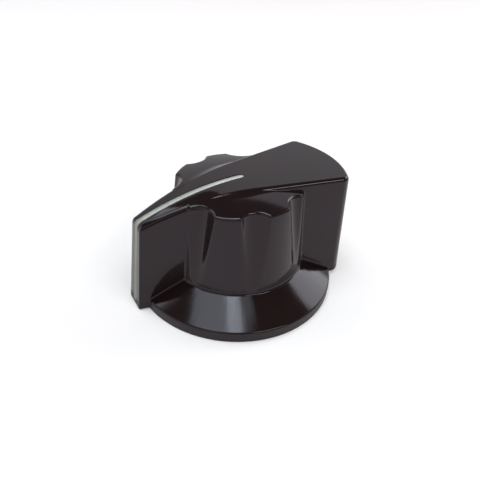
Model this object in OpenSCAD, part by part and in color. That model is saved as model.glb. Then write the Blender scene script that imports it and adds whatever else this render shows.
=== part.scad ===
// Pointer knob for a kitchen appliance: one dark phenolic moulding with a fluted hub on a
// conical skirt, and a wedge-shaped pointer that runs over the hub and past the skirt.
// Z is the shaft axis and leads away from the panel, and the pointer aims along +Y.

/* [Skirt] */
// Diameter of the skirt
skirt_d = 40; // [36:0.5:50]
// Height of the skirt's upright rim
rim_h = 2.1; // [1.8:0.1:4]
// Height at which the skirt's cone meets the hub
cone_h = 5.6; // [4.8:0.1:7]
// Radius of the rim's upper edge
rim_edge_r = 0.25; // [0.1:0.05:0.6]
// Radius of the fillet between the cone and the hub
cone_fillet_r = 0.4; // [0.2:0.1:1.2]

/* [Hub] */
// Diameter of the hub where it leaves the cone
hub_base_d = 27.2; // [25:0.1:29]
// Diameter of the hub at its top edge
hub_top_d = 24.6; // [23:0.1:26]
// Height of the hub's top edge
hub_h = 21.4; // [19:0.1:22]
// Radius of the hub's domed top
dome_r = 70; // [50:1:200]
// Radius of the hub's top edge
hub_edge_r = 0.45; // [0.1:0.05:0.8]

/* [Flutes] */
// Flutes on each side of the pointer
flutes_per_side = 3; // [1:1:3]
// Radius of the round cutter that makes a flute
flute_r = 3.3; // [2.5:0.1:5]
// Depth of a flute at the hub's top
flute_depth = 1.5; // [0.8:0.1:2]
// Height at which the flutes run out
flute_foot_h = 6.8; // [6:0.1:12]
// Angle from the pointer to the middle flute
flute_mid_a = 74.2; // [70:0.1:90]
// Angle between one flute and the next
flute_pitch_a = 45.8; // [40:0.1:50]

/* [Pointer] */
// Reach of the nose from the shaft axis, at the base
nose_reach = 21.9; // [20.5:0.1:28]
// Reach of the tail from the shaft axis, at the base
tail_reach = 23; // [20.5:0.1:28]
// Width of the nose at the base
nose_w = 4.8; // [4:0.1:6]
// Width that the straight walls would have at the end of the tail
tail_w = 22.2; // [18:0.1:26]
// Radius of the tail's end in plan, at the base
tail_r = 17.5; // [14:0.1:24]
// Height of the flat stretch of the pointer's top
pointer_h = 22.8; // [21.5:0.1:26]
// Distance behind the shaft axis at which the top starts to fall
fall_start = 0.9; // [0:0.1:8]
// Radius of the falling stretch of the top
fall_r = 52; // [50:1:90]
// Height of the tail's underside above the panel
tail_lift = 0.6; // [0.4:0.1:1.5]
// Draft angle of the side walls
wall_draft_a = 2.4; // [0.5:0.1:4]
// Draft angle of the nose
nose_draft_a = 4.8; // [1:0.1:6]
// Draft angle of the tail
tail_draft_a = 3; // [1:0.1:5]
// Radius of the upper edges at the nose
nose_edge_r = 0.7; // [0.2:0.1:0.8]
// Radius of the upper edges at the tail
tail_edge_r = 1; // [0.4:0.1:1.4]
// Radius of the lower edges at the nose
nose_foot_r = 0.5; // [0.2:0.1:0.8]
// Radius of the lower edges at the tail
tail_foot_r = 0.8; // [0.2:0.1:1.2]

/* [Pointer line] */
// Width of the line
line_w = 1.3; // [0.8:0.1:2]
// Distance behind the shaft axis at which the line starts
line_start = 0.9; // [-4:0.1:6]
// Height of the line's lower end on the nose
line_foot_h = 1; // [0.6:0.1:4]
// Depth of the groove that holds the line
groove_depth = 0.7; // [0.4:0.1:1]
// Radius of the groove's floor where it bends over the nose
groove_bend_r = 0.3; // [0.1:0.1:0.8]
// Thickness of the paint in the groove
paint_t = 0.4; // [0.2:0.1:0.6]

/* [Underside] */
// Wall of the skirt's rim
rim_wall = 2.2; // [1.6:0.1:3]
// Wall of the skirt's cone
cone_wall = 2.2; // [1.6:0.1:2.6]
// Radius of the hollow core inside the hub
core_r = 10.6; // [9.8:0.1:11]
// Height of the core's roof
core_h = 14.5; // [12:0.1:16]
// Radius of the boss around the bush
boss_r = 7.3; // [6.6:0.1:8]
// Height of the boss's foot above the panel, which clears the shaft's nut
boss_lift = 2.4; // [1.5:0.1:4]
// Thickness of a rib between the boss and the hub
rib_t = 1.6; // [1:0.1:2.4]
// Width of the rib that the screw hole runs through
screw_rib_t = 6.4; // [5.6:0.1:8]
// Height of the ribs' feet above the core's mouth
rib_lift = 0.4; // [0.2:0.1:3]
// Draft angle of the core's walls
core_draft_a = 1; // [0.5:0.1:2]
// Radius of the core's inner corners
core_fillet_r = 0.5; // [0.2:0.1:0.8]

/* [Bush] */
// Diameter of the bore, for a quarter-inch shaft
bore_d = 6.4; // [6:0.05:7]
// Diameter over the bush's knurl
bush_d = 11; // [10:0.1:12]
// Length of the bush
bush_len = 11.4; // [10:0.1:13]
// How far the bush stands out of the boss
bush_proud = 0.4; // [0.2:0.1:0.8]
// Depth of the knurl
knurl_depth = 0.3; // [0.1:0.05:0.5]
// Ridges of the knurl
knurl_ridges = 28; // [16:1:40]
// Chamfer at the mouth of the bore
bore_chamfer = 0.4; // [0.2:0.1:0.8]

/* [Grub screw] */
// Diameter of the grub screw
screw_d = 4; // [3:0.1:5]
// Length of the grub screw
screw_len = 6; // [4:0.1:8]
// Height of the screw above the panel
screw_h = 9.6; // [8.5:0.1:11]
// Clearance around the screw in its tapped hole
screw_clear = 0.05; // [0.02:0.01:0.1]
// Clearance around the screw in the moulding
screw_hole_clear = 0.3; // [0.2:0.1:0.6]
// Gap between the screw's tip and the shaft's bore
screw_tip_gap = 0.1; // [0.05:0.05:0.5]
// Width across the flats of the screw's socket
socket_af = 2; // [1.5:0.1:2.5]
// Depth of the screw's socket
socket_depth = 2; // [1:0.1:3]

/* [Hidden] */

$fn = 96;
edge_facets = 24;
corner_steps = 6;
crown_steps = 8;
dome_steps = 8;
tail_steps = 12;
rib_count = 4;

// One overrun serves every cut
over = 1;

skirt_r = skirt_d / 2;
hub_base_r = hub_base_d / 2;
hub_top_r = hub_top_d / 2;
bore_r = bore_d / 2;
bush_r = bush_d / 2;
screw_r = screw_d / 2;
recess_r = skirt_r - rim_wall;
bush_foot = boss_lift - bush_proud;
bush_top = bush_foot + bush_len;

function unit(v) = v / norm(v);
// Arc of radius r that rounds the corner b between a and c
function rounded(a, b, c, r) =
    let (u = unit(a - b), v = unit(c - b))
    let (half = acos(u * v) / 2, turn = 180 - 2 * half)
    let (centre = b + unit(u + v) * r / sin(half))
    let (p = b + u * r / tan(half) - centre, q = b + v * r / tan(half) - centre)
    [for (i = [0:corner_steps])
        let (s = turn * i / corner_steps)
        centre + (p * sin(turn - s) + q * sin(s)) / sin(turn)];

// Hub and cone, as radius and height
cone_slope = (cone_h - rim_h) / (skirt_r - hub_base_r);
function cone_z(r) = rim_h + (skirt_r - r) * cone_slope;
function hub_radius(z) = hub_base_r + (hub_top_r - hub_base_r) * (z - cone_h) / (hub_h - cone_h);
roof_drop = cone_wall * norm([1, cone_slope]);
function roof_z(r) = cone_z(r) - roof_drop;
rib_foot = roof_z(core_r) + rib_lift;
function dome_z(r) = hub_h + sqrt(dome_r ^ 2 - r ^ 2) - sqrt(dome_r ^ 2 - hub_top_r ^ 2);

// Flutes lean outwards going down, until they leave the hub's wall
flute_floor_r = hub_top_r - flute_depth;
flute_rise = hub_h - flute_foot_h;
flute_lean_a = atan((hub_radius(flute_foot_h) - flute_floor_r) / flute_rise);
flute_len = flute_rise / cos(flute_lean_a);

// Pointer walls, in plan and in side view
wall_slope = (tail_w - nose_w) / 2 / (nose_reach + tail_reach);
wall_draft = tan(wall_draft_a);
tail_centre = tail_r - tail_reach;
function wall_x(y, z) = nose_w / 2 + (nose_reach - y) * wall_slope - z * wall_draft;
function nose_y(z) = nose_reach - z * tan(nose_draft_a);
function tail_radius(z) = tail_r - z * tan(tail_draft_a);
function top_z(y) = y < -fall_start ? pointer_h
    : pointer_h - fall_r + sqrt(fall_r ^ 2 - (y + fall_start) ^ 2);
function edge_r(y) = nose_edge_r
    + (tail_edge_r - nose_edge_r) * (nose_reach - y) / (nose_reach + tail_reach);
// Angle from the tail's centre line to its corner, for the outline at height z drawn in by r
function tail_corner_a(z, r) =
    let (a = wall_x(tail_centre, z) - r, k = wall_slope, t = tail_radius(z) - r)
    let (u = (a * k - sqrt((a * k) ^ 2 - (1 + k ^ 2) * (a ^ 2 - t ^ 2))) / (1 + k ^ 2))
    atan2(a - k * u, -u);
function tail_corner_y(z, r) =
    tail_centre - (tail_radius(z) - r) * cos(tail_corner_a(z, r));

// Side view of the nose and the falling top, drawn in by d
fall_centre = [-fall_start, pointer_h - fall_r];
function nose_foot(d) = [nose_reach - d / cos(nose_draft_a), 0];
nose_dir = [-sin(nose_draft_a), cos(nose_draft_a)];
function nose_top(d) =
    let (p = nose_foot(d) - fall_centre, b = p * nose_dir)
    nose_foot(d) + nose_dir * (sqrt(b ^ 2 - p * p + (fall_r - d) ^ 2) - b);
nose_top_y = nose_top(0)[0];
nose_top_z = nose_top(0)[1];

// Path of the pointer line in side view, drawn in by d, from its round end to its foot
function fall_point(y, d) = fall_centre
    + (fall_r - d) * unit([y - fall_centre[0], top_z(y) - fall_centre[1]]);
function line_path(d) =
    let (bend_r = groove_depth + groove_bend_r, last = nose_top_y - bend_r)
    let (run = [for (i = [0:crown_steps]) fall_point(last * i / crown_steps - line_start, d)])
    let (foot = nose_foot(d) + nose_dir * line_foot_h / cos(nose_draft_a))
    concat(run, rounded(run[crown_steps], nose_top(d), foot, bend_r - d), [foot]);

module hub_and_skirt() {
    dome = [for (i = [1:dome_steps])
        let (r = hub_top_r * (1 - i / dome_steps)) [r, dome_z(r)]];
    rim_top = [skirt_r, rim_h];
    hub_foot = [hub_base_r, cone_h];
    hub_edge = [hub_top_r, hub_h];
    rotate_extrude()
        polygon(concat(
            [[0, 0], [skirt_r, 0]],
            rounded([skirt_r, 0], rim_top, hub_foot, rim_edge_r),
            rounded(rim_top, hub_foot, hub_edge, cone_fillet_r),
            rounded(hub_foot, hub_edge, dome[0], hub_edge_r),
            dome));
}

module flute(a) {
    rotate([0, 0, a])
        translate([0, flute_floor_r, hub_h])
            rotate([flute_lean_a, 0, 0])
                translate([0, flute_r, -flute_len])
                    cylinder(r = flute_r, h = flute_len + over);
}

module flutes() {
    for (side = [-1, 1])
        for (i = [0:flutes_per_side - 1])
            flute(side * (flute_mid_a + (i - (flutes_per_side - 1) / 2) * flute_pitch_a));
}

// Ball of radius r that rounds one corner of the pointer's outline
module corner_ball(x, y, z, r) {
    for (side = [-1, 1])
        translate([side * x, y, z])
            sphere(r = r, $fn = edge_facets);
}

// Balls along the pointer's outline at one level: z is the height of their centres
module tail_balls(z, r) {
    corner_a = tail_corner_a(z, r);
    for (i = [0:tail_steps / 2]) {
        a = corner_a * i / (tail_steps / 2);
        reach = tail_radius(z) - r;
        corner_ball(reach * sin(a), tail_centre - reach * cos(a), z, r);
    }
}

// The pointer is convex, so a hull of balls gives its walls, its falling top and its edges
module pointer() {
    hull() {
        for (i = [0:crown_steps]) {
            y = (nose_top_y + fall_start) * i / crown_steps - fall_start;
            r = edge_r(y);
            z = top_z(y) - r;
            edge_y = min(y, nose_y(z) - r);
            corner_ball(wall_x(edge_y, z) - r, edge_y, z, r);
        }
        tail_balls(pointer_h - tail_edge_r, tail_edge_r);
        tail_balls(tail_lift + tail_foot_r, tail_foot_r);
        foot_y = nose_y(nose_foot_r) - nose_foot_r;
        corner_ball(wall_x(foot_y, nose_foot_r) - nose_foot_r, foot_y, nose_foot_r, nose_foot_r);
    }
}

// Recess under the skirt and hollow core around the boss, with the ribs left standing
module underside() {
    recess_foot = [recess_r, -over];
    recess_edge = [recess_r, roof_z(recess_r)];
    core_foot = [core_r, roof_z(core_r)];
    lean = (core_h - core_foot[1]) * tan(core_draft_a);
    core_top = [core_r - lean, core_h];
    boss_top = [boss_r + lean, core_h];
    boss_foot = [boss_r, boss_lift];
    difference() {
        rotate_extrude()
            polygon(concat(
                [[0, -over], recess_foot],
                rounded(recess_foot, recess_edge, core_foot, core_fillet_r),
                rounded(recess_edge, core_foot, core_top, core_fillet_r),
                rounded(core_foot, core_top, boss_top, core_fillet_r),
                rounded(core_top, boss_top, boss_foot, core_fillet_r),
                rounded(boss_top, boss_foot, [0, boss_lift], core_fillet_r),
                [[0, boss_lift]]));
        for (i = [0:rib_count - 1]) {
            width = i == 0 ? screw_rib_t : rib_t;
            rotate([0, 0, i * 360 / rib_count])
                translate([bush_r, -width / 2, rib_foot])
                    cube([core_r - bush_r + over, width, core_h + over - rib_foot]);
        }
    }
}

module knurled_outline() {
    polygon([for (i = [0:2 * knurl_ridges - 1])
        let (r = bush_r - (i % 2) * knurl_depth, a = i * 180 / knurl_ridges)
        [r * cos(a), r * sin(a)]]);
}

// Everything of the groove between two depths below the pointer's surface
module line_band(top_d, bottom_d) {
    reach = nose_reach + line_start;
    intersection() {
        rotate([90, 0, 90])
            linear_extrude(height = line_w, center = true)
                polygon(concat(line_path(bottom_d), [for (i = [1:len(line_path(top_d))])
                    line_path(top_d)[len(line_path(top_d)) - i]]));
        linear_extrude(height = pointer_h + over)
            union() {
                translate([0, line_w / 2 - line_start])
                    circle(d = line_w);
                translate([-line_w / 2, line_w / 2 - line_start])
                    square([line_w, reach]);
            }
    }
}

module screw_axis() {
    translate([0, 0, screw_h])
        rotate([0, 90, 0])
            children();
}

module knob_body() {
    color("#2b2527")
        difference() {
            union() {
                difference() {
                    hub_and_skirt();
                    flutes();
                }
                pointer();
            }
            underside();
            translate([0, 0, bush_foot])
                linear_extrude(height = bush_len)
                    knurled_outline();
            line_band(-over, groove_depth);
            screw_axis()
                cylinder(r = screw_r + screw_hole_clear, h = hub_base_r + over);
        }
}

module pointer_line() {
    color("#d3d8c4")
        line_band(groove_depth - paint_t, groove_depth);
}

module shaft_bush() {
    color("#b59a55")
        difference() {
            translate([0, 0, bush_foot])
                linear_extrude(height = bush_len)
                    knurled_outline();
            translate([0, 0, bush_foot - over])
                cylinder(r = bore_r, h = bush_len + 2 * over);
            translate([0, 0, bush_foot])
                cylinder(r1 = bore_r + bore_chamfer, r2 = bore_r, h = bore_chamfer);
            screw_axis()
                cylinder(r = screw_r + screw_clear, h = bush_r + over);
        }
}

module grub_screw() {
    tip = bore_r + screw_tip_gap;
    color("#6f7276")
        screw_axis()
            difference() {
                translate([0, 0, tip])
                    cylinder(r = screw_r, h = screw_len);
                translate([0, 0, tip + screw_len - socket_depth])
                    cylinder(d = socket_af / cos(30), h = socket_depth + over, $fn = 6);
            }
}

knob_body();
pointer_line();
shaft_bush();
grub_screw();
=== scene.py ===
import math

import bpy
import numpy as np
from mathutils import Matrix, Vector


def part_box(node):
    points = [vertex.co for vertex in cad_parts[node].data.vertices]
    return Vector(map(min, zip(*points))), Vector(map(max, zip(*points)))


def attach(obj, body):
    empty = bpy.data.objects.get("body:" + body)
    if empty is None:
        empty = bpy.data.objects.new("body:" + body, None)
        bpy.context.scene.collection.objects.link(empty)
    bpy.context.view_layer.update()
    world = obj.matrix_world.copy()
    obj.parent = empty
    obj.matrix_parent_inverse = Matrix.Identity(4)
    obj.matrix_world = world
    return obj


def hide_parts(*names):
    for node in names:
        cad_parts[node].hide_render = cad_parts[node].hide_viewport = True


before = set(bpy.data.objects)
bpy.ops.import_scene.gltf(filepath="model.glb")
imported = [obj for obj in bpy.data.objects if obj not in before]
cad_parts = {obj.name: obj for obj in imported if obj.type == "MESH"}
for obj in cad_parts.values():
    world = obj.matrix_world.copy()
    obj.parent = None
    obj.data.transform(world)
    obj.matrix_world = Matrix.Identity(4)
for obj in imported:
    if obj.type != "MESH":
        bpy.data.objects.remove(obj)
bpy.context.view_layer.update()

bl_info = {
    "name": "Pointer knob",
    "version": (1, 0, 0),
    "blender": (4, 5, 0),
    "location": "3D View > Sidebar > Knob",
    "description": "Skirted pointer knob of dark phenolic, with its line, bush and grub screw",
    "category": "Object",
}

MM = 0.001
BODY = "root"
BODY_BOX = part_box("knob_body")
LINE_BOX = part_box("pointer_line")
BUSH_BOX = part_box("shaft_bush")
SCREW_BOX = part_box("grub_screw")

# A length too small to matter, to weld points and to keep a division from zero.
TINY = 0.001 * MM

# The outside of the moulding is made rough, and then its points settle on a distance field.
VOXEL = 0.14 * MM
KEPT_FACES = 0.30
FIELD_STEP = 1e-6
LEAST_STEEPNESS = 0.25

# True normals go to faces whose points lie this near the field and that face as it does.
GLOSS_REACH = 4e-6
GLOSS_AGREES = 0.8

# Where the top was buffed, and where the crown's fillet widens: from and to, ahead of the shaft
# axis and above the hub's top edge.
BUFFED_AHEAD = (4.5 * MM, 8.5 * MM)
BUFFED_HIGH = (-4.5 * MM, -1.5 * MM)
WIDE_AHEAD = (-4 * MM, 2 * MM)
WIDE_HIGH = (-1.5 * MM, -0.5 * MM)

# Each lamp's name, direction from the knob, distance, width, height, radiance and tint.
LAMPS = (
    ("overhead_softbox", (0, 0.085, 0.996), 0.6, 0.40, 0.092, 8.6, (0.79, 0.94, 1.0)),
    ("overhead_far_half", (0, 0.30, 0.954), 0.6, 0.40, 0.178, 3.4, (0.79, 0.97, 1.0)),
    ("overhead_spill", (0, -0.075, 0.997), 0.6, 0.40, 0.090, 1.75, (0.8, 0.98, 1.0)),
    ("far_softbox", (0.568, 0.300, 0.766), 0.7, 0.375, 0.17, 2.7, (0.9, 0.96, 1.0)),
    ("side_window", (0.05, -0.862, 0.505), 0.7, 0.34, 0.33, 3.3, (0.93, 1.0, 1.0)),
    ("front_light", (-0.68, -0.19, 0.71), 0.9, 0.45, 0.12, 9.6, (0.95, 0.97, 1.0)),
)

# The dark card that stands beside the camera: its place, turn, width and height.
CARD_PLACE = (-0.574, -0.175, 0.315)
CARD_TURN = math.radians(107)
CARD_SIZE = (1.4, 0.33)


def size(label, text, millimetres):
    """A length that the sidebar shows, given in millimetres and kept in metres."""
    return bpy.props.FloatProperty(name=label, description=text, default=millimetres * MM,
                                   min=0, unit="LENGTH", precision=5)


def taken(label, text, metres):
    """A length whose default comes from the frame."""
    return size(label, text, metres / MM)


def angle(label, text, degrees):
    """An angle that the sidebar shows, given in degrees and kept in radians."""
    return bpy.props.FloatProperty(name=label, description=text, default=math.radians(degrees),
                                   unit="ROTATION")


def colour(label, text, value):
    """A linear colour that the sidebar shows."""
    return bpy.props.FloatVectorProperty(name=label, description=text, default=value, size=3,
                                         subtype="COLOR", min=0, max=1)


def amount(label, text, value):
    """A plain number that the sidebar shows."""
    return bpy.props.FloatProperty(name=label, description=text, default=value, min=0)


class KnobSizes(bpy.types.PropertyGroup):
    """Sizes of the moulding."""
    skirt_r: taken("Skirt radius", "Radius of the skirt", BODY_BOX[1].x)
    rim_h: size("Rim height", "Height of the skirt's upright rim", 2.1)
    cone_h: size("Cone height", "Height at which the cone meets the hub", 5.6)
    rim_edge_r: size("Rim edge", "Radius of the rim's upper edge", 0.25)
    foot_edge_r: size("Foot edge", "Radius of the rim's lower edge", 0.15)
    cone_fillet_r: size("Cone fillet", "Radius of the fillet between cone and hub", 0.3)
    hub_base_r: size("Hub foot radius", "Radius of the hub where it leaves the cone", 13.6)
    hub_top_r: size("Hub top radius", "Radius of the hub at its top edge", 12.3)
    hub_h: size("Hub height", "Height of the hub's top edge", 21.4)
    dome_r: size("Dome radius", "Radius of the hub's domed top", 70)
    hub_edge_r: size("Hub edge", "Radius of the hub's top edge", 0.45)
    flute_r: size("Flute radius", "Radius of the round cutter that makes a flute", 3.3)
    flute_depth: size("Flute depth", "Depth of a flute at the hub's top", 1.5)
    flute_foot_h: size("Flute foot", "Height at which the flutes run out", 6.8)
    flute_mid_a: angle("Middle flute", "Angle from the pointer to the middle flute", 74.2)
    flute_pitch_a: angle("Flute pitch", "Angle between one flute and the next", 45.8)
    flute_edge_r: size("Flute edge", "Radius of the edges along a flute", 0.35)
    nose_reach: taken("Nose reach", "Reach of the nose from the shaft axis", BODY_BOX[1].y)
    tail_reach: taken("Tail reach", "Reach of the tail from the shaft axis", -BODY_BOX[0].y)
    nose_w: size("Nose width", "Width of the nose at the base", 4.8)
    tail_w: size("Tail width", "Width that the straight walls would have at the tail", 22.2)
    tail_r: size("Tail radius", "Radius of the tail's end in plan", 17.5)
    pointer_h: taken("Pointer height", "Height of the pointer's flat top", BODY_BOX[1].z)
    fall_start: size("Fall start", "Distance behind the axis where the top starts to fall", 0.9)
    fall_r: size("Fall radius", "Radius of the falling stretch of the top", 52)
    tail_lift: size("Tail lift", "Height of the tail's underside", 0.6)
    wall_draft_a: angle("Wall draft", "Draft angle of the pointer's side walls", 2.4)
    nose_draft_a: angle("Nose draft", "Draft angle of the nose", 4.8)
    tail_draft_a: angle("Tail draft", "Draft angle of the tail", 3)
    edge_r: size("Upper edge", "Radius of the pointer's upper edges", 0.85)
    worn_edge_r: size("Worn edge", "Radius of the buffed upper edge at the nose", 1.15)
    crown_r: size("Crown", "Radius of the buffed top beside the line, ahead of the hub", 14)
    crown_drop: size("Crown drop", "How far the buffed top falls beside the line", 0.35)
    nose_corner_r: size("Nose corner", "Radius of the pointer's upright edges at the nose", 0.33)
    tail_corner_r: size("Tail corner", "Radius of the pointer's upright edges at the tail", 1.15)
    nose_foot_r: size("Nose foot", "Radius of the pointer's lower edges at the nose", 0.5)
    tail_foot_r: size("Tail foot", "Radius of the pointer's lower edges at the tail", 0.8)
    pointer_fillet_r: size("Pointer fillet", "Radius between the pointer and the rest", 0.2)
    crown_fillet_r: size("Crown fillet", "Radius between the pointer's top and the hub's top", 1.25)
    bend_r: size("Nose bend", "Radius of the nose's upper edge along the line", 1.0)
    valley_r: size("Valley", "Radius of the hub's top where it rises beside the pointer", 12)
    lid_drop: size("Lid drop", "How far the hub's top stays below the pointer's top", 0.12)
    soft_r: size("Soft crease", "Radius in the field where two flat stretches meet", 0.04)


class HollowSizes(bpy.types.PropertyGroup):
    """Sizes of the hollow underside and of what sits in it."""
    rim_wall: size("Rim wall", "Wall of the skirt's rim", 2.2)
    cone_wall: size("Cone wall", "Wall of the skirt's cone", 2.2)
    core_r: size("Core radius", "Radius of the hollow core inside the hub", 10.6)
    core_h: size("Core height", "Height of the core's roof", 14.5)
    core_draft_a: angle("Core draft", "Draft angle of the core's walls", 1)
    core_fillet_r: size("Core fillet", "Radius of the core's inner corners", 0.5)
    boss_r: size("Boss radius", "Radius of the boss around the bush", 7.3)
    boss_lift: size("Boss lift", "Height of the boss's foot", 2.4)
    rib_t: size("Rib thickness", "Thickness of a rib between boss and hub", 1.6)
    screw_rib_t: size("Screw rib", "Width of the rib that the screw hole runs through", 6.4)
    rib_lift: size("Rib lift", "Height of the ribs' feet above the core's mouth", 0.4)
    bore_r: size("Bore radius", "Radius of the bush's bore", 3.2)
    bore_chamfer: size("Bore chamfer", "Chamfer at the mouth of the bore", 0.4)
    knurl_depth: size("Knurl depth", "Depth of the bush's knurl", 0.3)
    screw_hole_clear: size("Screw hole", "Clearance around the screw in the moulding", 0.3)
    screw_clear: size("Screw clearance", "Clearance around the screw in the bush", 0.05)
    thread_depth: size("Thread depth", "Depth of the grub screw's thread", 0.42)
    thread_pitch: size("Thread pitch", "Pitch of the grub screw's thread", 0.7)
    socket_af: size("Socket", "Width across the flats of the screw's socket", 2)
    socket_depth: size("Socket depth", "Depth of the screw's socket", 2)
    groove_depth: size("Groove depth", "Depth of the groove that holds the line", 0.7)
    paint_t: size("Paint thickness", "Thickness of the paint in the groove", 0.4)
    paint_drop: size("Paint drop", "How far the paint's round end lies below the top", 0.14)
    paint_drop_nose: size("Paint drop, nose", "How far the paint lies below the nose's face", 0.02)
    knurl_ridges: bpy.props.IntProperty(name="Knurl ridges", default=28, min=12,
                                        description="Ridges around the bush")


class KnobFinish(bpy.types.PropertyGroup):
    """Colours and gloss of the finishes."""
    phenolic: colour("Phenolic", "Body of the moulding", (0.0085, 0.0044, 0.0042))
    phenolic_warm: colour("Warm phenolic", "Warmer clouds in the moulding",
                          (0.0098, 0.0048, 0.0045))
    dust: colour("Dust", "Pale specks on the moulding", (0.16, 0.15, 0.15))
    sheen: colour("Sheen", "Tint of the moulding's reflections", (1.0, 0.90, 1.0))
    paint: colour("Line paint", "Filler paint of the line", (0.60, 0.585, 0.55))
    paint_worn: colour("Worn paint", "Paint on the falling top", (0.46, 0.45, 0.405))
    paint_aged: colour("Aged paint", "Paint on the nose's face", (0.225, 0.221, 0.180))
    # Painted shade: the colour of the shade that the groove's far wall casts along the line's right
    # edge.
    groove_shade: colour("Shadow", "Shade along the line's right edge", (0.035, 0.032, 0.028))
    brass: colour("Brass", "Turned brass of the bush", (0.60, 0.42, 0.17))
    steel: colour("Steel", "Dark plated steel of the screw", (0.22, 0.22, 0.23))
    gloss: amount("Phenolic roughness", "Roughness of the polished moulding", 0.08)
    streaks: amount("Streaks", "Roughness that the cone's polishing streaks add", 0.07)
    rim_matt: amount("Matt rim", "Roughness that the skirt's upright rim adds", 0.36)
    dust_matt: amount("Matt dust", "Roughness that a speck of dust adds", 0.4)
    index: amount("Phenolic index", "Index of refraction of the moulding", 1.40)
    soiling: amount("Soiling", "Share of soil in the line's darkest patches", 0.25)
    # Painted shade: how much of the groove's shade colour fades in towards the line's right edge.
    shading: amount("Shading", "Share of grime that fades in towards the line's right edge", 0.75)


class KnobStudio(bpy.types.PropertyGroup):
    """Camera, floor and lights."""
    azimuth: angle("Azimuth", "Way the camera looks, round the shaft axis", -122.311)
    elevation: angle("Elevation", "How far the camera looks down", 36.187)
    roll: angle("Roll", "Turn of the camera about its own axis", -3.981)
    lens: amount("Lens", "Focal length in millimetres on a 36 mm sensor", 36.54)
    place: bpy.props.FloatVectorProperty(
        name="Camera place", description="Where the camera stands", size=3, unit="LENGTH",
        default=(-67.817 * MM, 41.741 * MM, 66.425 * MM), precision=5)
    floor_half: size("Floor", "Half the width of the floor", 700)
    floor_tint: colour("Floor tint", "Pale colour of the floor", (0.87, 0.805, 0.79))
    floor_glow: amount("Floor glow", "White that the camera sees on the floor besides light", 0.125)
    horizon: colour("Horizon", "Pale sweep where it meets the floor", (0.95, 0.95, 0.95))
    sweep: colour("Sweep", "Pale sweep behind the floor", (0.71, 0.71, 0.74))
    sweep_top: colour("Sweep top", "Pale sweep at its top", (0.91, 0.91, 0.95))
    ceiling: colour("Ceiling", "Room above the sweep", (0.14, 0.12, 0.12))
    sweep_a: angle("Sweep height", "Height at which the sweep ends", 42.0)


def sizes():
    return bpy.context.scene.knob_sizes


def hollow():
    return bpy.context.scene.knob_hollow


def finish():
    return bpy.context.scene.knob_finish


def studio():
    return bpy.context.scene.knob_studio


def named(name):
    """Names the primitive that was just added, and puts its place in its mesh."""
    piece = bpy.context.active_object
    piece.name = name
    piece.data.name = name
    bpy.ops.object.transform_apply(location=True, rotation=True, scale=True)
    return piece


def pick(*pieces):
    """Selects these objects alone, and makes the first one active."""
    bpy.ops.object.select_all(action="DESELECT")
    for piece in pieces:
        piece.select_set(True)
    bpy.context.view_layer.objects.active = pieces[0]


def shaped(piece, kind, **settings):
    """Applies one modifier to a piece."""
    pick(piece)
    modifier = piece.modifiers.new(kind, kind)
    for key, value in settings.items():
        setattr(modifier, key, value)
    bpy.ops.object.modifier_apply(modifier=modifier.name)
    return piece


def combined(piece, tool, operation):
    """Joins a tool to a piece or cuts it out, and puts the tool away."""
    shaped(piece, "BOOLEAN", operation=operation, object=tool, solver="MANIFOLD")
    if not piece.data.polygons:
        raise RuntimeError(f"{tool.name} left nothing of {piece.name}")
    bpy.data.objects.remove(tool)
    return piece


def facing_out(piece):
    """Turns the normals of a closed piece outwards."""
    pick(piece)
    bpy.ops.object.mode_set(mode="EDIT")
    bpy.ops.mesh.select_all(action="SELECT")
    bpy.ops.mesh.normals_make_consistent(inside=False)
    bpy.ops.object.mode_set(mode="OBJECT")
    return piece


def turned(name, profile, steps):
    """A solid of revolution: a ring is extruded along the profile from its foot to its end."""
    bpy.ops.object.select_all(action="DESELECT")
    bpy.ops.mesh.primitive_circle_add(vertices=steps, radius=profile[0][0], fill_type="NGON",
                                      location=(0, 0, profile[0][1]))
    piece = named(name)
    bpy.ops.object.mode_set(mode="EDIT")
    for (r0, z0), (r1, z1) in zip(profile, profile[1:]):
        bpy.ops.mesh.extrude_region_move(TRANSFORM_OT_translate={"value": (0, 0, z1 - z0)})
        bpy.ops.transform.resize(value=(r1 / r0, r1 / r0, 1), center_override=(0, 0, z1))
    bpy.ops.object.mode_set(mode="OBJECT")
    return facing_out(piece)


def planed(piece, planes):
    """Cuts a block with planes, each a point and an outward normal, and closes each cut."""
    pick(piece)
    bpy.ops.object.mode_set(mode="EDIT")
    for point, normal in planes:
        bpy.ops.mesh.select_all(action="SELECT")
        bpy.ops.mesh.bisect(plane_co=point, plane_no=normal, use_fill=True, clear_outer=True,
                            threshold=TINY)
    bpy.ops.object.mode_set(mode="OBJECT")
    return piece


def arc(a, b, c, radius):
    """Points that round the corner b between a and c."""
    steps = 6
    a, b, c = (np.array(p, float) for p in (a, b, c))
    u, v = (a - b) / np.linalg.norm(a - b), (c - b) / np.linalg.norm(c - b)
    half = math.acos(float(u @ v)) / 2
    turn = math.pi - 2 * half
    centre = b + (u + v) / np.linalg.norm(u + v) * radius / math.sin(half)
    start = b + u * radius / math.tan(half) - centre
    end = b + v * radius / math.tan(half) - centre
    parts = [turn * i / steps for i in range(steps + 1)]
    return [tuple(centre + (start * math.sin(turn - s) + end * math.sin(s)) / math.sin(turn))
            for s in parts]


def joined(a, b, radius):
    """Union of two distance fields, with a fillet."""
    return (np.maximum(radius, np.minimum(a, b))
            - np.hypot(np.maximum(radius - a, 0), np.maximum(radius - b, 0)))


def kept(a, b, radius):
    """Intersection of two distance fields, with a rounded edge."""
    return -joined(-a, -b, radius)


def rising(value, low, high):
    """Runs from 0 to 1 while value goes from low to high."""
    return np.clip((value - low) / (high - low), 0, 1)


def cone_slope(s):
    """How far the skirt's cone rises for each length that it goes in."""
    return (s.cone_h - s.rim_h) / (s.skirt_r - s.hub_base_r)


def wall_slope(s):
    """How far a side wall of the pointer goes out for each length towards the tail."""
    return (s.tail_w - s.nose_w) / 2 / (s.nose_reach + s.tail_reach)


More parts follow.
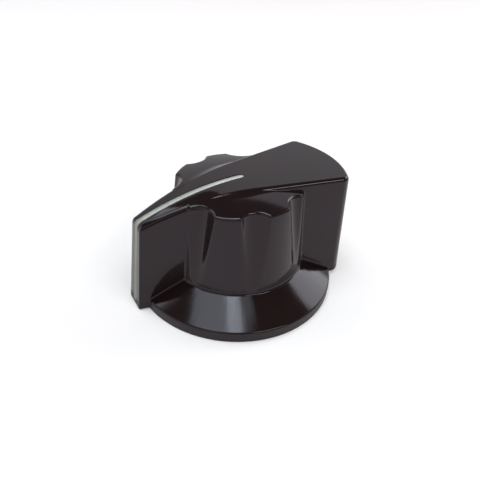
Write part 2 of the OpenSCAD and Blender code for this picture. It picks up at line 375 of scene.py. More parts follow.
def pointer_half_w(s, y):
    """Half the width of the pointer's flat top."""
    return (s.nose_w / 2 + (s.nose_reach - y) * wall_slope(s)
            - s.pointer_h * math.tan(s.wall_draft_a))


def falling_top(s, y, z):
    """Distance to the pointer's top, which is flat behind and falls in an arc ahead."""
    return np.hypot(np.maximum(y + s.fall_start, 0), z - s.pointer_h + s.fall_r) - s.fall_r


def buffed_off(s, x, y, z, left):
    """Height that buffing took off the top, left of the line and ahead of the shaft axis."""
    beside = np.maximum(x - LINE_BOX[1].x, 0) * left
    ahead = rising(y, *BUFFED_AHEAD)
    high = rising(z - s.hub_h, *BUFFED_HIGH)
    drop = s.crown_drop * (1 - np.exp(-beside ** 2 / (2 * s.crown_r * s.crown_drop)))
    return drop * ahead ** 2 * (3 - 2 * ahead) * high


def flute_angles(s):
    """Angles from the pointer to the flutes of one side."""
    return [s.flute_mid_a + step * s.flute_pitch_a for step in (-1, 0, 1)]


def flute_lean(s):
    """Floor radius and lean of a flute, which runs out of the hub's wall at its foot."""
    floor_r = s.hub_top_r - s.flute_depth
    wall_r = s.hub_base_r + (s.hub_top_r - s.hub_base_r) * (
        (s.flute_foot_h - s.cone_h) / (s.hub_h - s.cone_h))
    return floor_r, math.atan((wall_r - floor_r) / (s.hub_h - s.flute_foot_h))


def hub_field(s, x, y, z):
    """Distance to the fluted hub, as if it went down for ever."""
    slope = (s.hub_base_r - s.hub_top_r) / (s.hub_h - s.cone_h)
    wall = (np.hypot(x, y) - s.hub_top_r - (s.hub_h - z) * slope) / math.hypot(1, slope)
    floor_r, lean = flute_lean(s)
    for turn in flute_angles(s):
        across = x * math.cos(turn) - y * math.sin(turn)
        out = x * math.sin(turn) + y * math.cos(turn)
        away = ((out - floor_r) * math.cos(lean) + (z - s.hub_h) * math.sin(lean) - s.flute_r)
        wall = kept(wall, s.flute_r - np.hypot(across, away), s.flute_edge_r)
    dome_foot = s.hub_h - math.sqrt(s.dome_r ** 2 - s.hub_top_r ** 2)
    dome = np.sqrt(x ** 2 + y ** 2 + (z - dome_foot) ** 2) - s.dome_r
    beside = np.maximum(x - pointer_half_w(s, y), 0)
    inside = np.clip((pointer_half_w(s, y) - x) / s.edge_r - 1, 0, 1)
    lid = falling_top(s, y, z) + s.lid_drop * inside - beside ** 2 / (2 * s.valley_r)
    return kept(wall, kept(dome, lid, s.soft_r), s.hub_edge_r)


def skirt_field(s, x, y, z):
    """Distance to the skirt, as if it went down for ever."""
    radius = np.hypot(x, y)
    slope = cone_slope(s)
    cone = (z - s.rim_h - (s.skirt_r - radius) * slope) / math.hypot(1, slope)
    return kept(cone, radius - s.skirt_r, s.rim_edge_r)


def along(s, y, at_nose, at_tail):
    """A value that changes evenly from the nose to the tail."""
    return at_nose + (at_tail - at_nose) * rising(-y, -s.nose_reach, s.tail_reach)


def upper_edge_r(s, left, y):
    """Radius of the pointer's upper edges. The left one is buffed rounder towards the nose."""
    ahead = rising(y, s.hub_top_r, s.nose_reach)
    return s.edge_r + (s.worn_edge_r - s.edge_r) * ahead * left


def pointer_field(s, x, y, z, left):
    """Distance to the pointer, and how far its surface faces up: 0 on a wall and 1 on top."""
    slope, draft = wall_slope(s), math.tan(s.wall_draft_a)
    wall = ((x - s.nose_w / 2 - (s.nose_reach - y) * slope + z * draft)
            / math.sqrt(1 + slope ** 2 + draft ** 2))
    tail_y = s.tail_r - s.tail_reach
    tail = ((np.hypot(x, np.minimum(y - tail_y, 0)) - s.tail_r) * math.cos(s.tail_draft_a)
            + z * math.sin(s.tail_draft_a))
    nose = (y - s.nose_reach) * math.cos(s.nose_draft_a) + z * math.sin(s.nose_draft_a)
    side = kept(kept(wall, tail, s.tail_corner_r), nose, s.nose_corner_r)
    top = falling_top(s, y, z)
    foot_slope = s.tail_lift / (s.nose_reach + s.tail_reach)
    foot = (s.nose_reach - y) * foot_slope - z
    edge_r = upper_edge_r(s, left, y)
    over, out = np.maximum(edge_r + top, 0), np.maximum(edge_r + side, 0)
    facing_up = over / np.maximum(np.hypot(over, out), TINY)
    foot_r = along(s, y, s.nose_foot_r, s.tail_foot_r)
    return kept(kept(side, top, edge_r), foot, foot_r), facing_up


def blend_r(s, y, z, facing_up):
    """Radius between the pointer and the rest. It widens ahead on the hub's top, and shrinks
    where both surfaces face the same way, where it would make them swell."""
    high = rising(z - s.hub_h, *WIDE_HIGH)
    ahead = rising(y, *WIDE_AHEAD)
    radius = s.pointer_fillet_r + (s.crown_fillet_r - s.pointer_fillet_r) * high * ahead
    turn = 1 - np.sqrt((1 + facing_up) / 2)
    return radius * turn / (1 - math.sqrt(0.5)) + s.soft_r


def moulded_field(s, points):
    """Distance from each point to the outside of the moulding."""
    x, y, z = np.abs(points[:, 0]), points[:, 1], points[:, 2]
    left = points[:, 0] < 0
    base_z, z = z, z + buffed_off(s, x, y, z, left)
    round_part = joined(hub_field(s, x, y, z), skirt_field(s, x, y, z), s.cone_fillet_r)
    pointer, facing_up = pointer_field(s, x, y, z, left)
    whole = joined(round_part, pointer, blend_r(s, y, z, facing_up))
    return kept(whole, -base_z, s.foot_edge_r)


def slope_of(s, points):
    """Distance and its slope at each point."""
    slope = np.empty_like(points)
    for axis in range(3):
        ahead, behind = points.copy(), points.copy()
        ahead[:, axis] += FIELD_STEP
        behind[:, axis] -= FIELD_STEP
        slope[:, axis] = ((moulded_field(s, ahead) - moulded_field(s, behind))
                          / (2 * FIELD_STEP))
    return moulded_field(s, points), slope


def read_points(piece):
    """The places of a piece's points, one row each."""
    points = np.empty(len(piece.data.vertices) * 3)
    piece.data.vertices.foreach_get("co", points)
    return points.reshape(-1, 3)


def settle(s, piece, rounds):
    """Moves a rough piece's points onto the true outside of the moulding."""
    points = read_points(piece)
    for _ in range(rounds):
        distance, slope = slope_of(s, points)
        steepness = np.maximum((slope ** 2).sum(1), LEAST_STEEPNESS)
        points -= slope * (distance / steepness)[:, None]
    piece.data.vertices.foreach_set("co", points.ravel())
    piece.data.update()


def even_gloss(s, piece):
    """Gives the outside the true surface's normals, so that reflections run evenly over it."""
    points = read_points(piece)
    distance, slope = slope_of(s, points)
    normals = slope / np.linalg.norm(slope, axis=1)[:, None]
    outside = np.abs(distance) < GLOSS_REACH
    mesh = piece.data
    corner_point = np.empty(len(mesh.loops), int)
    mesh.loops.foreach_get("vertex_index", corner_point)
    face_start = np.empty(len(mesh.polygons), int)
    mesh.polygons.foreach_get("loop_start", face_start)
    face_total = np.empty(len(mesh.polygons), int)
    mesh.polygons.foreach_get("loop_total", face_total)
    whole_face = np.logical_and.reduceat(outside[corner_point], face_start)
    face_normal = np.empty(len(mesh.polygons) * 3)
    mesh.polygons.foreach_get("normal", face_normal)
    middle = np.add.reduceat(normals[corner_point], face_start) / face_total[:, None]
    whole_face &= (middle * face_normal.reshape(-1, 3)).sum(1) > GLOSS_AGREES
    smooth_corner = np.repeat(whole_face, face_total)
    corner_normal = np.where(smooth_corner[:, None], normals[corner_point], 0)
    mesh.normals_split_custom_set(corner_normal.tolist())


def rough_hub(s):
    """Skirt and fluted hub, turned and cut before the edges are rounded."""
    steps, cutter_steps = 180, 64
    dome = [(s.hub_top_r * share, s.hub_h + (s.hub_top_r ** 2) * (1 - share ** 2) / 2 / s.dome_r)
            for share in (0.7, 0.3)]
    wall = [(s.skirt_r, 0), (s.skirt_r, s.rim_h), (s.hub_base_r, s.cone_h),
            (s.hub_top_r, s.hub_h)]
    hub = turned("moulded_body", wall + dome, steps)
    floor_r, lean = flute_lean(s)
    length = 2 * (s.hub_h - s.flute_foot_h)
    for side in (-1, 1):
        for turn in flute_angles(s):
            out = floor_r + s.flute_r / math.cos(lean)
            bpy.ops.object.select_all(action="DESELECT")
            bpy.ops.mesh.primitive_cylinder_add(
                vertices=cutter_steps, radius=s.flute_r, depth=length,
                location=(side * out * math.sin(turn), out * math.cos(turn), s.hub_h),
                rotation=(lean, 0, -side * turn))
            combined(hub, named("flute_cutter"), "DIFFERENCE")
    return hub


def rough_pointer(s):
    """Pointer, planed out of a block before its edges are rounded."""
    length = s.nose_reach + s.tail_reach
    spare_w, spare_l = 1.2, 1.1
    bpy.ops.object.select_all(action="DESELECT")
    bpy.ops.mesh.primitive_cube_add(
        size=1, location=(0, s.nose_reach - length / 2, s.pointer_h / 2),
        scale=(s.tail_w * spare_w, length * spare_l, s.pointer_h))
    block = named("rough_pointer")
    slope, draft = wall_slope(s), math.tan(s.wall_draft_a)
    half = s.nose_w / 2 + s.nose_reach * slope
    planes = [((side * half, 0, 0), (side, slope, draft)) for side in (-1, 1)]
    planes.append(((0, s.nose_reach, 0), (0, math.cos(s.nose_draft_a), math.sin(s.nose_draft_a))))
    tail_y = s.tail_r - s.tail_reach
    for degrees in range(-36, 37, 6):
        turn = math.radians(degrees)
        out = Vector((math.sin(turn), -math.cos(turn), math.tan(s.tail_draft_a)))
        planes.append(((s.tail_r * out.x, tail_y + s.tail_r * out.y, 0), out))
    fall_steps, fall_degrees = 8, 2.7
    for step in range(1, fall_steps + 1):
        turn = math.radians(fall_degrees * step)
        out = Vector((0, math.sin(turn), math.cos(turn)))
        planes.append(((0, s.fall_r * out.y - s.fall_start,
                        s.pointer_h - s.fall_r + s.fall_r * out.z), out))
    planes.append(((0, s.nose_reach, 0), (0, -s.tail_lift / length, -1)))
    return planed(block, planes)


def hollow_cutter(s, h, bush_r):
    """What the mould's core leaves open below: the recess, and the well around the boss."""
    slope = cone_slope(s)
    drop = h.cone_wall * math.hypot(1, slope)

    def roof(radius):
        return s.rim_h + (s.skirt_r - radius) * slope - drop

    lean = (h.core_h - roof(h.core_r)) * math.tan(h.core_draft_a)
    recess_r = s.skirt_r - h.rim_wall
    below = (recess_r, -MM)
    corners = [(recess_r, roof(recess_r)), (h.core_r, roof(h.core_r)),
               (h.core_r - lean, h.core_h), (h.boss_r + lean, h.core_h),
               (h.boss_r, h.boss_lift)]
    ends = [below] + corners + [(0, h.boss_lift)]
    profile = [below]
    for before, corner, after in zip(ends, corners, ends[2:]):
        profile += arc(before, corner, after, h.core_fillet_r)
    cutter = turned("hollow_cutter", profile, 192)
    foot, head = roof(h.core_r) + h.rib_lift, h.core_h + 2 * MM
    for index in range(4):
        turn = index * math.pi / 2
        width = h.screw_rib_t if index == 0 else h.rib_t
        length = h.core_r + MM - bush_r
        out = bush_r + length / 2
        bpy.ops.object.select_all(action="DESELECT")
        bpy.ops.mesh.primitive_cube_add(
            size=1, rotation=(0, 0, turn), scale=(length, width, head - foot),
            location=(out * math.cos(turn), out * math.sin(turn), (foot + head) / 2))
        combined(cutter, named("rib"), "DIFFERENCE")
    return cutter


def knurled(name, radius, depth, ridges, low, high):
    """A cylinder whose wall has straight knurled ridges."""
    bpy.ops.object.select_all(action="DESELECT")
    bpy.ops.mesh.primitive_cylinder_add(vertices=2 * ridges, radius=radius, depth=high - low,
                                        location=(0, 0, (low + high) / 2))
    piece = named(name)
    for point in piece.data.vertices:
        step = round(math.atan2(point.co.y, point.co.x) / math.pi * ridges)
        if step % 2:
            share = 1 - depth / radius
            point.co.x *= share
            point.co.y *= share
    return piece


def screw_cylinder(name, radius, start, end):
    """A cylinder along the screw's axis, which runs along +X."""
    bpy.ops.object.select_all(action="DESELECT")
    bpy.ops.mesh.primitive_cylinder_add(
        vertices=64, radius=radius, depth=end - start,
        location=((start + end) / 2, 0, (SCREW_BOX[0].z + SCREW_BOX[1].z) / 2),
        rotation=(0, math.pi / 2, 0))
    return named(name)


def crest(s):
    """Length of the line's way along the pointer's crest, and the place and outward direction
    at each way, in side view: down the falling top, round the bend and down the nose."""
    bend_r = s.bend_r
    up_nose = Vector((-math.sin(s.nose_draft_a), math.cos(s.nose_draft_a)))
    off_nose = Vector((math.cos(s.nose_draft_a), math.sin(s.nose_draft_a)))
    fall_centre = Vector((-s.fall_start, s.pointer_h - s.fall_r))
    reach = Vector((s.nose_reach, 0)) - bend_r * off_nose - fall_centre
    along = reach.dot(up_nose)
    inner = s.fall_r - bend_r
    rise = math.sqrt(along ** 2 - reach.length_squared + inner ** 2) - along
    bend = fall_centre + reach + up_nose * rise
    first = math.asin((s.fall_start + LINE_BOX[0].y) / s.fall_r)
    last = math.atan2((bend - fall_centre).x, (bend - fall_centre).y)
    nose_turn = math.pi / 2 - s.nose_draft_a
    falling = s.fall_r * (last - first)
    bending = bend_r * (nose_turn - last)
    top_of_nose = bend + bend_r * off_nose
    dropping = (top_of_nose.y - LINE_BOX[0].z) / up_nose.y

    def at(way):
        if way < falling:
            turn = first + way / s.fall_r
            out = Vector((math.sin(turn), math.cos(turn)))
            return fall_centre + s.fall_r * out, out
        if way < falling + bending:
            turn = last + (way - falling) / bend_r
            out = Vector((math.sin(turn), math.cos(turn)))
            return bend + bend_r * out, out
        return top_of_nose - up_nose * (way - falling - bending), off_nose

    return falling + bending + dropping, at


def crest_strip(s, name, depths, thickness, half_w, columns, spacing):
    """A strip laid along the crest, with a round end, and given its thickness. The depths are
    those of its round end and of its end at the nose's foot."""
    length, at = crest(s)
    ways = [half_w * (1 - math.cos(math.radians(degrees))) for degrees in range(18, 91, 12)]
    count = round((length - half_w) / spacing)
    ways += [half_w + (length - half_w) * step / count for step in range(count + 1)]
    bpy.ops.object.select_all(action="DESELECT")
    bpy.ops.mesh.primitive_grid_add(x_subdivisions=columns, y_subdivisions=len(ways) - 1, size=1)
    strip = named(name)
    for point in strip.data.vertices:
        way = ways[round((point.co.y + 0.5) * (len(ways) - 1))]
        half = math.sqrt(half_w ** 2 - max(half_w - way, 0) ** 2)
        place, out = at(way)
        place = place - out * (depths[0] + (depths[1] - depths[0]) * min(2 * way / length, 1))
        point.co = (2 * point.co.x * half, place.x, place.y)
    shaped(strip, "SOLIDIFY", thickness=abs(thickness), offset=math.copysign(1, thickness),
           use_even_offset=True)
    return facing_out(strip)


def drawn(name, points):
    """An open outline in the XZ plane: one point of a primitive, extruded from place to place."""
    bpy.ops.object.select_all(action="DESELECT")
    bpy.ops.mesh.primitive_plane_add(size=MM)
    outline = named(name)
    bpy.ops.object.mode_set(mode="EDIT")
    bpy.ops.mesh.merge(type="CENTER")
    bpy.ops.transform.translate(value=(points[0][0], 0, points[0][1]))
    for (x0, z0), (x1, z1) in zip(points, points[1:]):
        bpy.ops.mesh.extrude_vertices_move(
            TRANSFORM_OT_translate={"value": (x1 - x0, 0, z1 - z0)})
    bpy.ops.object.mode_set(mode="OBJECT")
    return outline


def given_place(piece, body, node_name, material):
    """Dresses a finished piece and ties it to the frame."""
    piece.data.materials.clear()
    piece.data.materials.append(material)
    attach(piece, body)
    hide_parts(node_name)


class Paint:
    """Builds a material's nodes one after another."""

    def __init__(self, name):
        self.material = bpy.data.materials.new(name)
        self.material.use_nodes = True
        self.tree = self.material.node_tree
        self.shader = self.tree.nodes["Principled BSDF"]
        self.place = self.add("ShaderNodeTexCoord").outputs["Object"]

    def add(self, kind, settings=None, **inputs):
        """Adds a node. An input is a socket to link or a value to set."""
        node = self.tree.nodes.new(kind)
        for key, value in (settings or {}).items():
            setattr(node, key, value)
        for key, value in inputs.items():
            self.feed(node.inputs[key.replace("_", " ")], value)
        return node

    def feed(self, socket, value):
        if isinstance(value, bpy.types.NodeSocket):
            self.tree.links.new(value, socket)
        else:
            socket.default_value = value

    def math(self, operation, a, b=0.0):
        node = self.tree.nodes.new("ShaderNodeMath")
        node.operation = operation
        self.feed(node.inputs[0], a)
        self.feed(node.inputs[1], b)
        return node.outputs[0]

    def noise(self, scale, detail=3.0, roughness=0.5, place=None):
        node = self.add("ShaderNodeTexNoise", Vector=place or self.place, Scale=scale,
                        Detail=detail, Roughness=roughness)
        return node.outputs["Fac"]

    def stretched(self, scale):
        """The object's own place, stretched along its axes."""
        return self.add("ShaderNodeMapping", Vector=self.place, Scale=scale).outputs["Vector"]

    def between(self, value, low, high, start=0.0, end=1.0):
        """Runs from start to end while value goes from low to high."""
        node = self.add("ShaderNodeMapRange", Value=value)
        for key, number in zip(("From Min", "From Max", "To Min", "To Max"),
                               (low, high, start, end)):
            node.inputs[key].default_value = number
        return node.outputs["Result"]

    def mixed(self, share, first, second):
        node = self.tree.nodes.new("ShaderNodeMix")
        node.data_type = "RGBA"
        self.feed(node.inputs["Factor"], share)
        self.feed(node.inputs["A"], self.opaque(first))
        self.feed(node.inputs["B"], self.opaque(second))
        return node.outputs["Result"]

    @staticmethod
    def opaque(value):
        if isinstance(value, bpy.types.NodeSocket):
            return value
        return (*value, 1.0)

    def bump(self, height, distance, before=None):
        node = self.add("ShaderNodeBump", Height=height, Strength=1.0, Distance=distance)
        if before:
            self.feed(node.inputs["Normal"], before)
        return node.outputs["Normal"]

    def polar(self):
        """Angle round the shaft axis as a share of a turn, distance from it, and height."""
        parts = self.add("ShaderNodeSeparateXYZ", Vector=self.place)
        turn = self.math("DIVIDE", self.math("ARCTAN2", parts.outputs["Y"], parts.outputs["X"]),
                         2 * math.pi)
        flat = self.add("ShaderNodeCombineXYZ", X=parts.outputs["X"], Y=parts.outputs["Y"])
        length = self.add("ShaderNodeVectorMath", {"operation": "LENGTH"},
                          Vector=flat.outputs["Vector"])
        return turn, length.outputs["Value"], parts.outputs["Z"]


def phenolic_material():
    """Dark polished phenolic: faint warm clouds, polishing streaks on the cone, a matt rim and
    a few specks."""
    f, s = finish(), sizes()
    paint = Paint("phenolic")
    turn, radius, height = paint.polar()
    clouds = paint.noise(140, 4, 0.6)
    body = paint.mixed(paint.between(clouds, 0.40, 0.62), f.phenolic, f.phenolic_warm)
    specks = paint.add("ShaderNodeTexVoronoi", Vector=paint.place, Scale=620.0)
    small = paint.between(specks.outputs["Distance"], 0.035, 0.075, 1, 0)
    rare = paint.between(paint.add("ShaderNodeSeparateColor", Color=specks.outputs["Color"])
                         .outputs["Red"], 0.965, 0.97)
    dust = paint.math("MULTIPLY", small, rare)
    paint.feed(paint.shader.inputs["Base Color"], paint.mixed(dust, body, f.dust))
    on_cone = paint.math("MULTIPLY",
                         paint.between(radius, s.hub_base_r, s.hub_base_r + MM),
                         paint.between(height, s.cone_h, s.cone_h + MM, 1, 0))
    around = paint.add("ShaderNodeCombineXYZ", X=paint.math("MULTIPLY", turn, 150.0),
                       Y=paint.math("MULTIPLY", radius, 90.0))
    streaks = paint.noise(1.0, 3, 0.65, around.outputs["Vector"])
    worn = paint.noise(420, 5, 0.7)
    roughness = paint.math("ADD", paint.between(worn, 0.3, 0.7, f.gloss * 0.8, f.gloss * 1.35),
                           paint.math("MULTIPLY", on_cone,
                                      paint.between(streaks, 0.35, 0.75, 0, f.streaks)))
    on_rim = paint.math("MULTIPLY",
                        paint.between(radius, s.skirt_r - 0.3 * MM, s.skirt_r - 0.2 * MM),
                        paint.between(height, s.rim_h - s.rim_edge_r, s.rim_h, 1, 0))
    roughness = paint.math("ADD", roughness, paint.math("MULTIPLY", dust, f.dust_matt))
    roughness = paint.math("ADD", roughness, paint.math("MULTIPLY", on_rim, f.rim_matt))
    paint.feed(paint.shader.inputs["Roughness"], roughness)
    paint.shader.inputs["IOR"].default_value = f.index
    paint.shader.inputs["Specular Tint"].default_value = (*f.sheen, 1)
    skin = paint.bump(paint.noise(330, 2, 0.5), 0.006 * MM)
    lines = paint.bump(paint.math("MULTIPLY", on_cone, streaks), 0.010 * MM, before=skin)
    paint.feed(paint.shader.inputs["Normal"], lines)
    return paint.material


def line_material():
    """Filler paint: off-white, darker towards the nose, a little uneven and chalky, with soiled
    patches, and with painted shade along its right edge, where the groove's far wall shades it."""
    f, s = finish(), sizes()
    paint = Paint("line_paint")
    parts = paint.add("ShaderNodeSeparateXYZ", Vector=paint.place)

    def ahead(low, high, start=0.0, end=1.0):
        """Runs from start to end between two shares of the way to the nose."""
        return paint.between(parts.outputs["Y"], s.nose_reach * low, s.nose_reach * high,
                             start, end)

    def across(low, high, end=1.0):
        """Runs from 0 to end between two shares of the way to the line's right edge."""
        half_w = LINE_BOX[1].x
        return paint.between(parts.outputs["X"], low * half_w, high * half_w, 0, end)

    base = paint.mixed(ahead(0.86, 0.96), paint.mixed(ahead(0.2, 0.5), f.paint, f.paint_worn),
                       f.paint_aged)
    patches = paint.between(paint.noise(900, 4, 0.6), 0.35, 0.7, 0.0, f.soiling)
    soiled = tuple(0.55 * part for part in f.paint_aged)
    # Painted shade: the groove's shade colour is mixed into the paint. It grows towards the line's
    # right edge, is strongest in a band along that edge, and fades to a quarter on the nose's face.
    # The soiled patches are the paint's own dirt.
    on_top = ahead(0.9, 0.96, 1, 0.25)
    shade = paint.math("MULTIPLY", across(-0.2, 1, f.shading), on_top)
    rim = paint.math("MULTIPLY", across(0.70, 0.80), on_top)
    soiled_and_shaded = paint.mixed(paint.math("MAXIMUM", shade, rim), paint.mixed(patches, base, soiled),
                        f.groove_shade)
    paint.feed(paint.shader.inputs["Base Color"], soiled_and_shaded)
    paint.feed(paint.shader.inputs["Roughness"],
               paint.between(paint.noise(1500, 3), 0.3, 0.7, 0.42, 0.62))
    paint.feed(paint.shader.inputs["Normal"], paint.bump(paint.noise(1800, 4, 0.6), 0.02 * MM))
    return paint.material


def metal_material(name, value, roughness, ring_axis):
    """Turned metal: fine rings from the tool and a slightly clouded surface."""
    paint = Paint(name)
    clouds = paint.noise(500, 4, 0.6)
    darker = tuple(0.6 * part for part in value)
    paint.feed(paint.shader.inputs["Base Color"],
               paint.mixed(paint.between(clouds, 0.35, 0.75, 0, 0.6), value, darker))
    paint.shader.inputs["Metallic"].default_value = 1.0
    paint.feed(paint.shader.inputs["Roughness"],
               paint.between(paint.noise(1300, 4, 0.6), 0.3, 0.7, roughness * 0.8, roughness * 1.3))
    stretch = [900.0, 900.0, 900.0]
    stretch[ring_axis] = 12000.0
    rings = paint.noise(1.0, 3, 0.6, paint.stretched(stretch))
    paint.feed(paint.shader.inputs["Normal"], paint.bump(rings, 0.008 * MM))
    return paint.material


def floor_material():
    """A white floor that keeps the knob's shadow, and that is clear when seen from below."""
    d = studio()
    paint = Paint("floor_white")
    paint.tree.nodes.remove(paint.shader)
    light = paint.add("ShaderNodeLightPath")
    seen = paint.math("MAXIMUM", paint.math("MAXIMUM", light.outputs["Is Camera Ray"],
                                            light.outputs["Is Glossy Ray"]),
                      light.outputs["Is Transmission Ray"])
    shaded = paint.add("ShaderNodeBsdfDiffuse", Color=(*d.floor_tint, 1))
    white = paint.add("ShaderNodeEmission", Strength=paint.math("MULTIPLY", seen, d.floor_glow))
    top = paint.add("ShaderNodeAddShader")
    paint.feed(top.inputs[0], shaded.outputs[0])
    paint.feed(top.inputs[1], white.outputs[0])
    below = paint.add("ShaderNodeMixShader")
    paint.feed(below.inputs[0], paint.add("ShaderNodeNewGeometry").outputs["Backfacing"])
    paint.feed(below.inputs[1], top.outputs[0])
    paint.feed(below.inputs[2], paint.add("ShaderNodeBsdfTransparent").outputs[0])
    paint.feed(paint.tree.nodes["Material Output"].inputs["Surface"], below.outputs[0])
    return paint.material


def card_material():
    """A dark card beside the camera, which only reflections show."""
    paint = Paint("dark_card")
    paint.feed(paint.shader.inputs["Base Color"], (0.01, 0.01, 0.01, 1))
    paint.feed(paint.shader.inputs["Roughness"], 0.9)
    return paint.material


def lamp(name, direction, distance, width, height, radiance, tint):
    """A soft rectangular lamp that faces the knob. Its radiance is what a mirror shows of it."""
    data = bpy.data.lights.new(name, "AREA")
    data.shape = "RECTANGLE"
    data.size, data.size_y = width, height
    data.energy = radiance * math.pi * width * height
    data.color = tint
    holder = bpy.data.objects.new(name, data)
    bpy.context.scene.collection.objects.link(holder)
    direction = Vector(direction).normalized()
    holder.location = direction * distance
    holder.rotation_euler = direction.to_track_quat("Z", "Y").to_euler()
    return holder


def studio_world():
    """A pale sweep all round up to a certain height, and a dim room above it."""
    d = studio()
    world = bpy.data.worlds.new("studio")
    bpy.context.scene.world = world
    world.use_nodes = True
    tree = world.node_tree
    place = tree.nodes.new("ShaderNodeTexCoord")
    parts = tree.nodes.new("ShaderNodeSeparateXYZ")
    tree.links.new(place.outputs["Generated"], parts.inputs[0])
    ramp = tree.nodes.new("ShaderNodeValToRGB")
    tree.links.new(parts.outputs["Z"], ramp.inputs[0])
    edge = math.sin(d.sweep_a)
    stops = ramp.color_ramp.elements
    soft = 0.01
    stops[0].position, stops[0].color = 0.0, (*d.horizon, 1)
    stops[1].position, stops[1].color = edge + soft, (*d.ceiling, 1)
    for position, level in ((0.25, d.sweep), (0.46, d.sweep), (edge - soft, d.sweep_top)):
        stops.new(position).color = (*level, 1)
    tree.links.new(ramp.outputs["Color"], tree.nodes["Background"].inputs["Color"])
    tree.nodes["Background"].inputs["Strength"].default_value = 1.0


class MakeBody(bpy.types.Operator):
    """Makes the moulding: skirt, fluted hub and pointer, hollow below"""
    bl_idname = "knob.make_body"
    bl_label = "Moulded body"

    def execute(self, context):
        s, h = sizes(), hollow()
        bush_r = BUSH_BOX[1].x
        body = rough_hub(s)
        combined(body, rough_pointer(s), "UNION")
        shaped(body, "REMESH", mode="VOXEL", voxel_size=VOXEL)
        settle(s, body, 5)
        shaped(body, "DECIMATE", ratio=KEPT_FACES)
        settle(s, body, 3)
        combined(body, hollow_cutter(s, h, bush_r), "DIFFERENCE")
        seat = knurled("bush_seat", bush_r, h.knurl_depth, h.knurl_ridges,
                       BUSH_BOX[0].z, BUSH_BOX[1].z)
        combined(body, seat, "DIFFERENCE")
        groove = crest_strip(s, "groove_cutter", (h.groove_depth, h.groove_depth),
                             h.groove_depth + MM / 2, LINE_BOX[1].x, 2, MM / 4)
        combined(body, groove, "DIFFERENCE")
        hole = screw_cylinder("screw_hole", SCREW_BOX[1].y + h.screw_hole_clear, bush_r / 2,
                              s.hub_base_r + MM)
        combined(body, hole, "DIFFERENCE")
        pick(body)
        bpy.ops.object.shade_smooth_by_angle(angle=math.radians(32))
        even_gloss(s, body)
        given_place(body, BODY, "knob_body", phenolic_material())
        return {"FINISHED"}


class MakeLine(bpy.types.Operator):
    """Makes the painted line that lies in the pointer's groove"""
    bl_idname = "knob.make_line"
    bl_label = "Pointer line"

    def execute(self, context):
        s, h = sizes(), hollow()
        half_w = LINE_BOX[1].x - 0.01 * MM
        line = crest_strip(s, "painted_line", (h.paint_drop, h.paint_drop_nose), -h.paint_t,
                           half_w, 6, MM / 5)
        pick(line)
        bpy.ops.object.shade_smooth_by_angle(angle=math.radians(40))
        given_place(line, BODY, "pointer_line", line_material())
        return {"FINISHED"}


class MakeBush(bpy.types.Operator):
    """Makes the knurled brass bush with its bore and its tapped hole"""
    bl_idname = "knob.make_bush"
    bl_label = "Shaft bush"

    def execute(self, context):
        h = hollow()
        low, high, radius = BUSH_BOX[0].z, BUSH_BOX[1].z, BUSH_BOX[1].x
        bush = knurled("brass_bush", radius, h.knurl_depth, h.knurl_ridges, low, high)
        bore = turned("bore", [(h.bore_r + h.bore_chamfer + MM, low - MM),
                               (h.bore_r, low + h.bore_chamfer), (h.bore_r, high + MM)], 128)
        combined(bush, bore, "DIFFERENCE")
        tapped = screw_cylinder("tapped_hole", SCREW_BOX[1].y + h.screw_clear, 0, radius + MM)
        combined(bush, tapped, "DIFFERENCE")
        pick(bush)
        bpy.ops.object.shade_smooth_by_angle(angle=math.radians(20))
        given_place(bush, BODY, "shaft_bush",
                    metal_material("turned_brass", finish().brass, 0.28, 2))
        return {"FINISHED"}


class MakeScrew(bpy.types.Operator):
    """Makes the grub screw with its thread, socket and cup point"""
    bl_idname = "knob.make_screw"
    bl_label = "Grub screw"

    def execute(self, context):
        h = hollow()
        tip, end, radius = SCREW_BOX[0].x, SCREW_BOX[1].x, SCREW_BOX[1].y
        height = (SCREW_BOX[0].z + SCREW_BOX[1].z) / 2
        length, pitch = end - tip, h.thread_pitch
        root_r = radius - h.thread_depth
        shares = ((root_r, 0), (root_r, 0.1), (radius, 0.45), (radius, 0.55), (root_r, 0.9),
                  (root_r, 1))
        thread = drawn("threaded_screw", [(out, pitch * share) for out, share in shares])
        shaped(thread, "SCREW", axis="Z", angle=2 * math.pi, screw_offset=pitch,
               iterations=round(length / pitch) + 3, steps=48, render_steps=48,
               use_merge_vertices=True, merge_threshold=TINY)
        pick(thread)
        bpy.ops.object.mode_set(mode="EDIT")
        bpy.ops.mesh.select_all(action="SELECT")
        bpy.ops.mesh.remove_doubles(threshold=TINY)
        bpy.ops.mesh.select_all(action="SELECT")
        turns_below = 1.37
        bpy.ops.transform.translate(value=(0, 0, -turns_below * pitch))
        bpy.ops.object.mode_set(mode="OBJECT")
        planed(thread, [((0, 0, 0), (0, 0, -1)), ((0, 0, length), (0, 0, 1))])
        facing_out(thread)
        lead = h.thread_depth
        blank = turned("screw_blank", [(root_r, 0), (radius, lead), (radius, length - lead),
                                       (root_r, length)], 48)
        combined(thread, blank, "INTERSECT")
        bpy.ops.object.select_all(action="DESELECT")
        bpy.ops.mesh.primitive_cylinder_add(
            vertices=6, radius=h.socket_af / 2 / math.cos(math.pi / 6), depth=2 * h.socket_depth,
            location=(0, 0, length))
        combined(thread, named("socket"), "DIFFERENCE")
        cup = turned("cup_point", [(root_r * 0.8, -MM / 10), (root_r * 0.2, root_r * 0.5)], 48)
        combined(thread, cup, "DIFFERENCE")
        thread.rotation_euler = (0, math.pi / 2, 0)
        thread.location = (tip, 0, height)
        pick(thread)
        bpy.ops.object.transform_apply(location=True, rotation=True)
        bpy.ops.object.shade_smooth_by_angle(angle=math.radians(30))
        given_place(thread, BODY, "grub_screw",
                    metal_material("plated_steel", finish().steel, 0.32, 0))
        return {"FINISHED"}


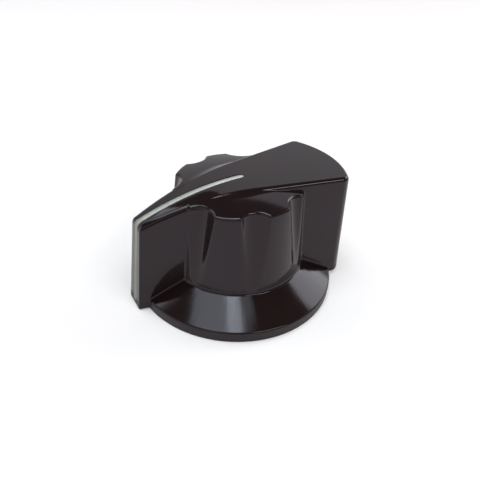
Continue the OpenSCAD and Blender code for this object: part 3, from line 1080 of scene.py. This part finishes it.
class MakeStage(bpy.types.Operator):
    """Makes the floor, the lamps, the room and the camera"""
    bl_idname = "knob.make_stage"
    bl_label = "Stage"

    def execute(self, context):
        d = studio()
        bpy.ops.object.select_all(action="DESELECT")
        bpy.ops.mesh.primitive_plane_add(size=2 * d.floor_half)
        floor = named("floor")
        floor.data.materials.append(floor_material())
        studio_world()
        for row in LAMPS:
            lamp(*row)
        bpy.ops.object.select_all(action="DESELECT")
        bpy.ops.mesh.primitive_plane_add(size=1, location=CARD_PLACE,
                                         rotation=(math.pi / 2, 0, CARD_TURN))
        context.active_object.scale = (*CARD_SIZE, 1)
        card = named("dark_card")
        card.data.materials.append(card_material())
        card.visible_camera = card.visible_diffuse = card.visible_shadow = False
        camera_data = bpy.data.cameras.new("camera")
        camera_data.lens = d.lens
        camera_data.sensor_width = 36
        camera_data.clip_start, camera_data.clip_end = MM, 5
        camera = bpy.data.objects.new("camera", camera_data)
        context.scene.collection.objects.link(camera)
        level = math.cos(d.elevation)
        back = Vector((math.sin(d.azimuth) * level, -math.cos(d.azimuth) * level,
                       math.sin(d.elevation)))
        right = Vector((math.cos(d.azimuth), math.sin(d.azimuth), 0))
        up = back.cross(right)
        turn, lean = math.cos(d.roll), math.sin(d.roll)
        axes = Matrix((turn * right - lean * up, lean * right + turn * up, back)).transposed()
        camera.matrix_world = Matrix.Translation(d.place) @ axes.to_4x4()
        context.scene.camera = camera
        context.scene.view_settings.view_transform = "Standard"
        return {"FINISHED"}


class KnobPanel(bpy.types.Panel):
    """Sizes, finishes and steps of the knob"""
    bl_idname = "VIEW3D_PT_pointer_knob"
    bl_label = "Pointer knob"
    bl_space_type = "VIEW_3D"
    bl_region_type = "UI"
    bl_category = "Knob"

    def draw(self, context):
        for step in STEPS:
            self.layout.operator(step.bl_idname)
        for group in (sizes(), hollow(), finish(), studio()):
            column = self.layout.column(align=True)
            for key in group.__annotations__:
                column.prop(group, key)


STEPS = (MakeBody, MakeLine, MakeBush, MakeScrew, MakeStage)
GROUPS = {"knob_sizes": KnobSizes, "knob_hollow": HollowSizes, "knob_finish": KnobFinish,
          "knob_studio": KnobStudio}


def register():
    for group in GROUPS.values():
        bpy.utils.register_class(group)
    for key, group in GROUPS.items():
        setattr(bpy.types.Scene, key, bpy.props.PointerProperty(type=group))
    for step in STEPS:
        bpy.utils.register_class(step)
    bpy.utils.register_class(KnobPanel)


def unregister():
    bpy.utils.unregister_class(KnobPanel)
    for step in reversed(STEPS):
        bpy.utils.unregister_class(step)
    for key in GROUPS:
        delattr(bpy.types.Scene, key)
    for group in reversed(list(GROUPS.values())):
        bpy.utils.unregister_class(group)


def main():
    register()
    bpy.ops.knob.make_stage()
    bpy.ops.knob.make_body()
    bpy.ops.knob.make_line()
    bpy.ops.knob.make_bush()
    bpy.ops.knob.make_screw()


if __name__ == "__main__":
    main()
